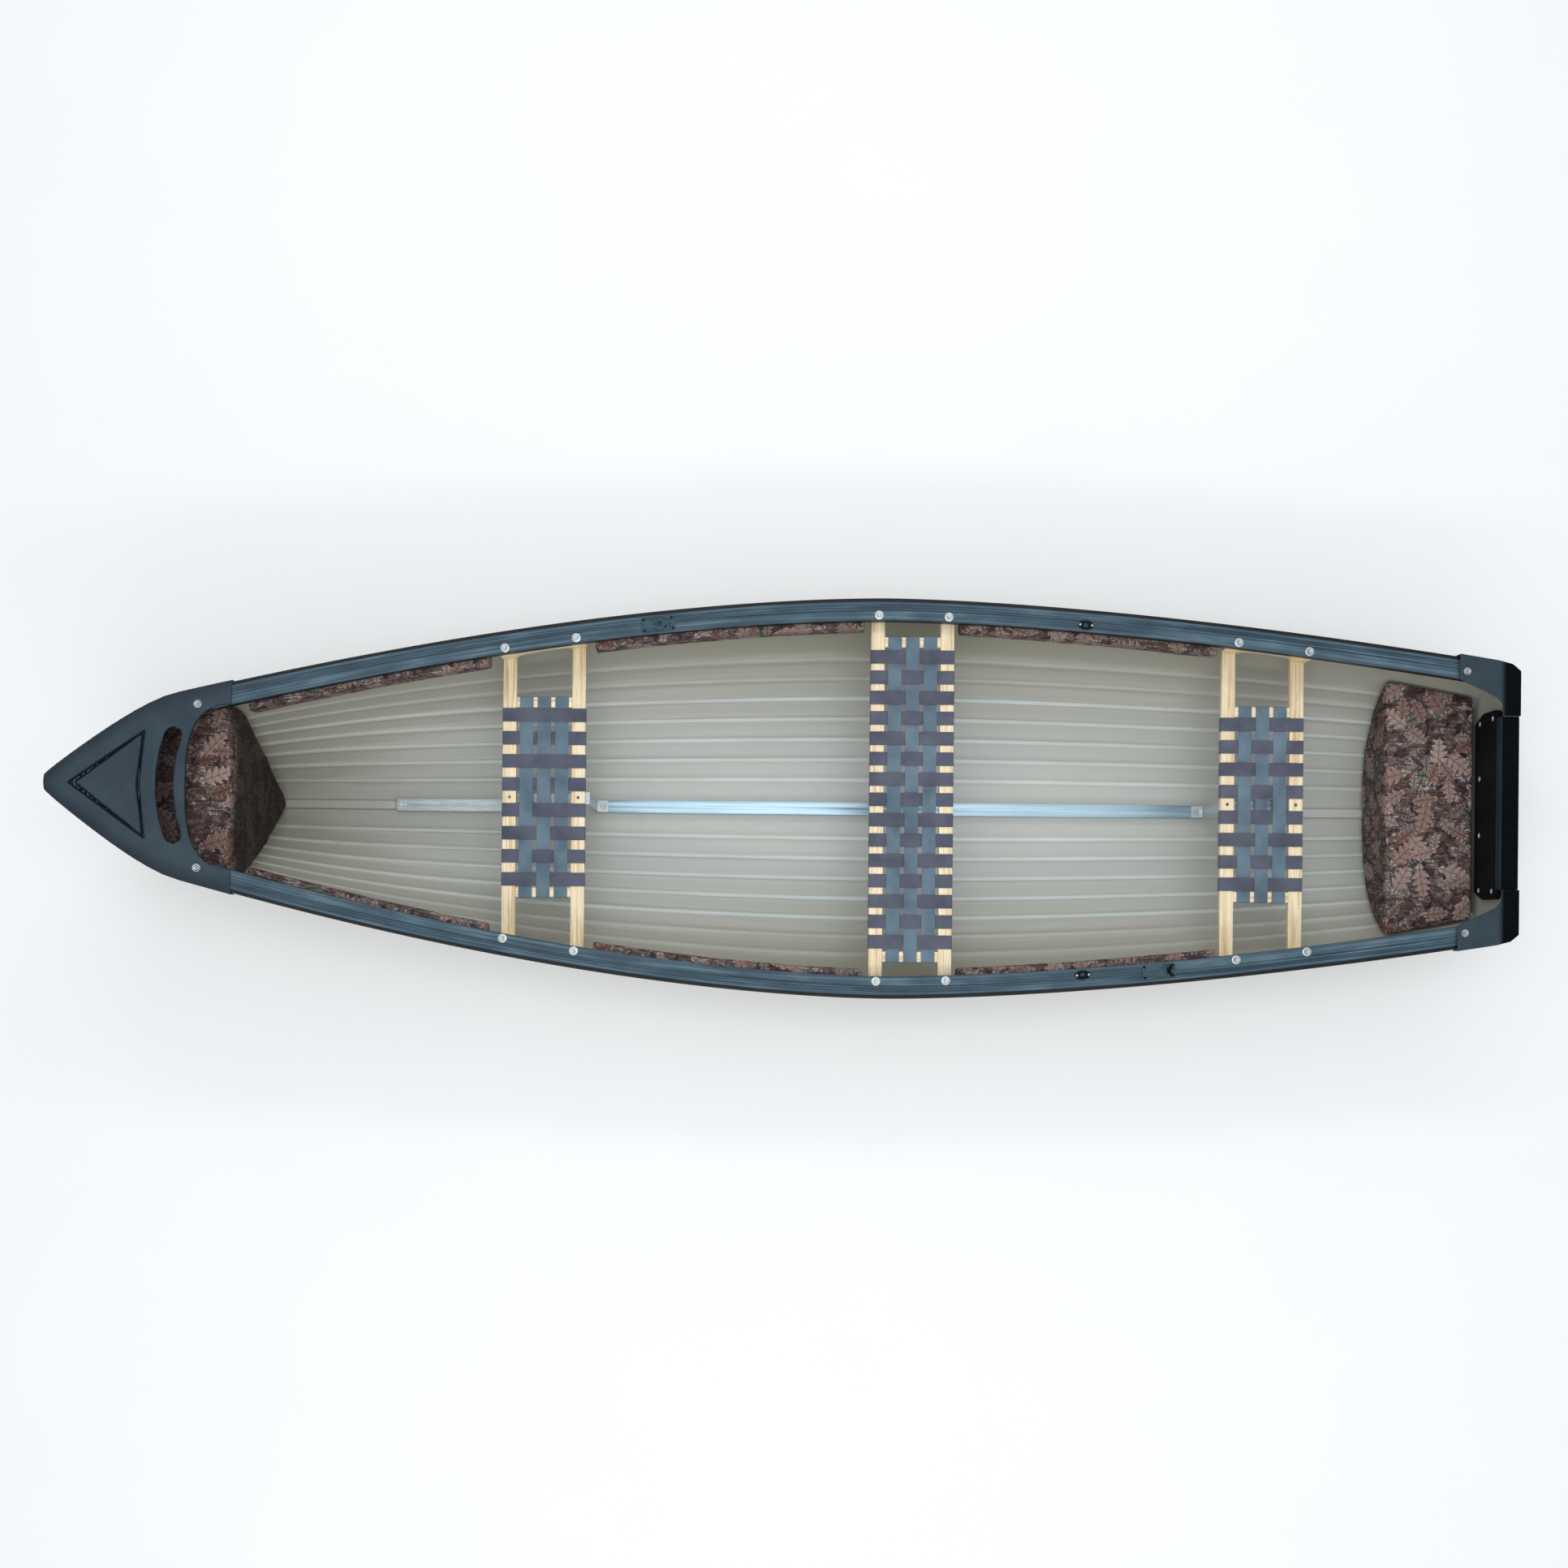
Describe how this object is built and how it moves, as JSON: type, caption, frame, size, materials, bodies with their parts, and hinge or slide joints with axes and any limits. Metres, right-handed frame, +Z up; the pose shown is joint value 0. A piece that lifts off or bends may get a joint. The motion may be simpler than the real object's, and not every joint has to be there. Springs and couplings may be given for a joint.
{
  "type": "canoe",
  "caption": "Open square-stern canoe with a moulded hull, plastic gunwales, a bow deck with carry slot, web seats on wooden frames, foam flotation and a transom for a small motor.",
  "frame": {"origin": "On the centre plane, halfway between the nose of the bow deck and the back of the transom cap, at the lowest point of the hull.", "axes": "+X runs aft along the keel, +Y to starboard, +Z up."},
  "size_m": [3.962, 1.1086, 0.6053],
  "materials": {
    "hull": "moulded, satin",
    "deck": "moulded, satin",
    "gunwale": "extruded, satin",
    "board": "black, matte",
    "foam": "foam with a printed leaf camouflage",
    "strap_long": "woven webbing",
    "strap_cross": "woven webbing",
    "wood": "clear varnish",
    "alloy": "mill finish",
    "steel": "stainless",
    "socket": "black nylon",
    "clip": "black nylon"
  },
  "bodies": {
    "hull": {"hull_shell": "hull", "bow_deck": "deck", "gunwale_starboard": "gunwale", "gunwale_port": "gunwale", "transom_cap": "deck", "stern_corner_cap_starboard": "deck", "stern_corner_cap_port": "deck", "transom_board": "board", "bow_foam_block": "foam", "stern_foam_block": "foam", "foam_strip_fore_starboard": "foam", "foam_strip_fore_port": "foam", "foam_strip_mid_starboard": "foam", "foam_strip_mid_port": "foam", "foam_strip_aft_starboard": "foam", "foam_strip_aft_port": "foam", "keel_tube_forward": "alloy", "keel_tube_main": "alloy", "keel_bracket_front": "alloy", "keel_bracket_stern": "alloy", "front_seat_bar_forward": "wood", "front_seat_bar_aft": "wood", "front_seat_end_rails": "wood", "front_seat_straps_long": "strap_long", "front_seat_straps_cross": "strap_cross", "middle_seat_bar_forward": "wood", "middle_seat_bar_aft": "wood", "middle_seat_end_rails": "wood", "middle_seat_straps_long": "strap_long", "middle_seat_straps_cross": "strap_cross", "stern_seat_bar_forward": "wood", "stern_seat_bar_aft": "wood", "stern_seat_end_rails": "wood", "stern_seat_straps_long": "strap_long", "stern_seat_straps_cross": "strap_cross", "front_seat_truss_starboard": "wood", "front_seat_truss_port": "wood", "stern_seat_truss_starboard": "wood", "stern_seat_truss_port": "wood", "seat_bolts": "steel", "seat_washers": "steel", "seat_nuts": "steel", "bar_screws": "steel", "deck_bolts": "steel", "corner_cap_bolts": "steel", "transom_screws": "steel", "tube_rivets": "steel", "oarlock_socket_starboard": "socket", "oarlock_socket_port": "socket", "oarlock_screws": "steel", "clip_base_starboard": "clip", "clip_base_port": "clip", "clip_pin_starboard": "steel", "clip_pin_port": "steel", "clip_base_screws": "steel"},
    "starboard_clip": {"clip_starboard": "clip"},
    "port_clip": {"clip_port": "clip"}
  },
  "joints": [
    {"name": "starboard_clip_hinge", "type": "hinge", "parent": "hull", "child": "starboard_clip", "pos_m": [-0.36279, 0.47557, 0.37764], "axis": [-0.1235, 0.9923, 0], "range_deg": [0, 90]},
    {"name": "port_clip_hinge", "type": "hinge", "parent": "hull", "child": "port_clip", "pos_m": [1.02672, -0.46878, 0.37044], "axis": [-0.0991, 0.9951, 0], "range_deg": [-90, 0]}
  ]
}
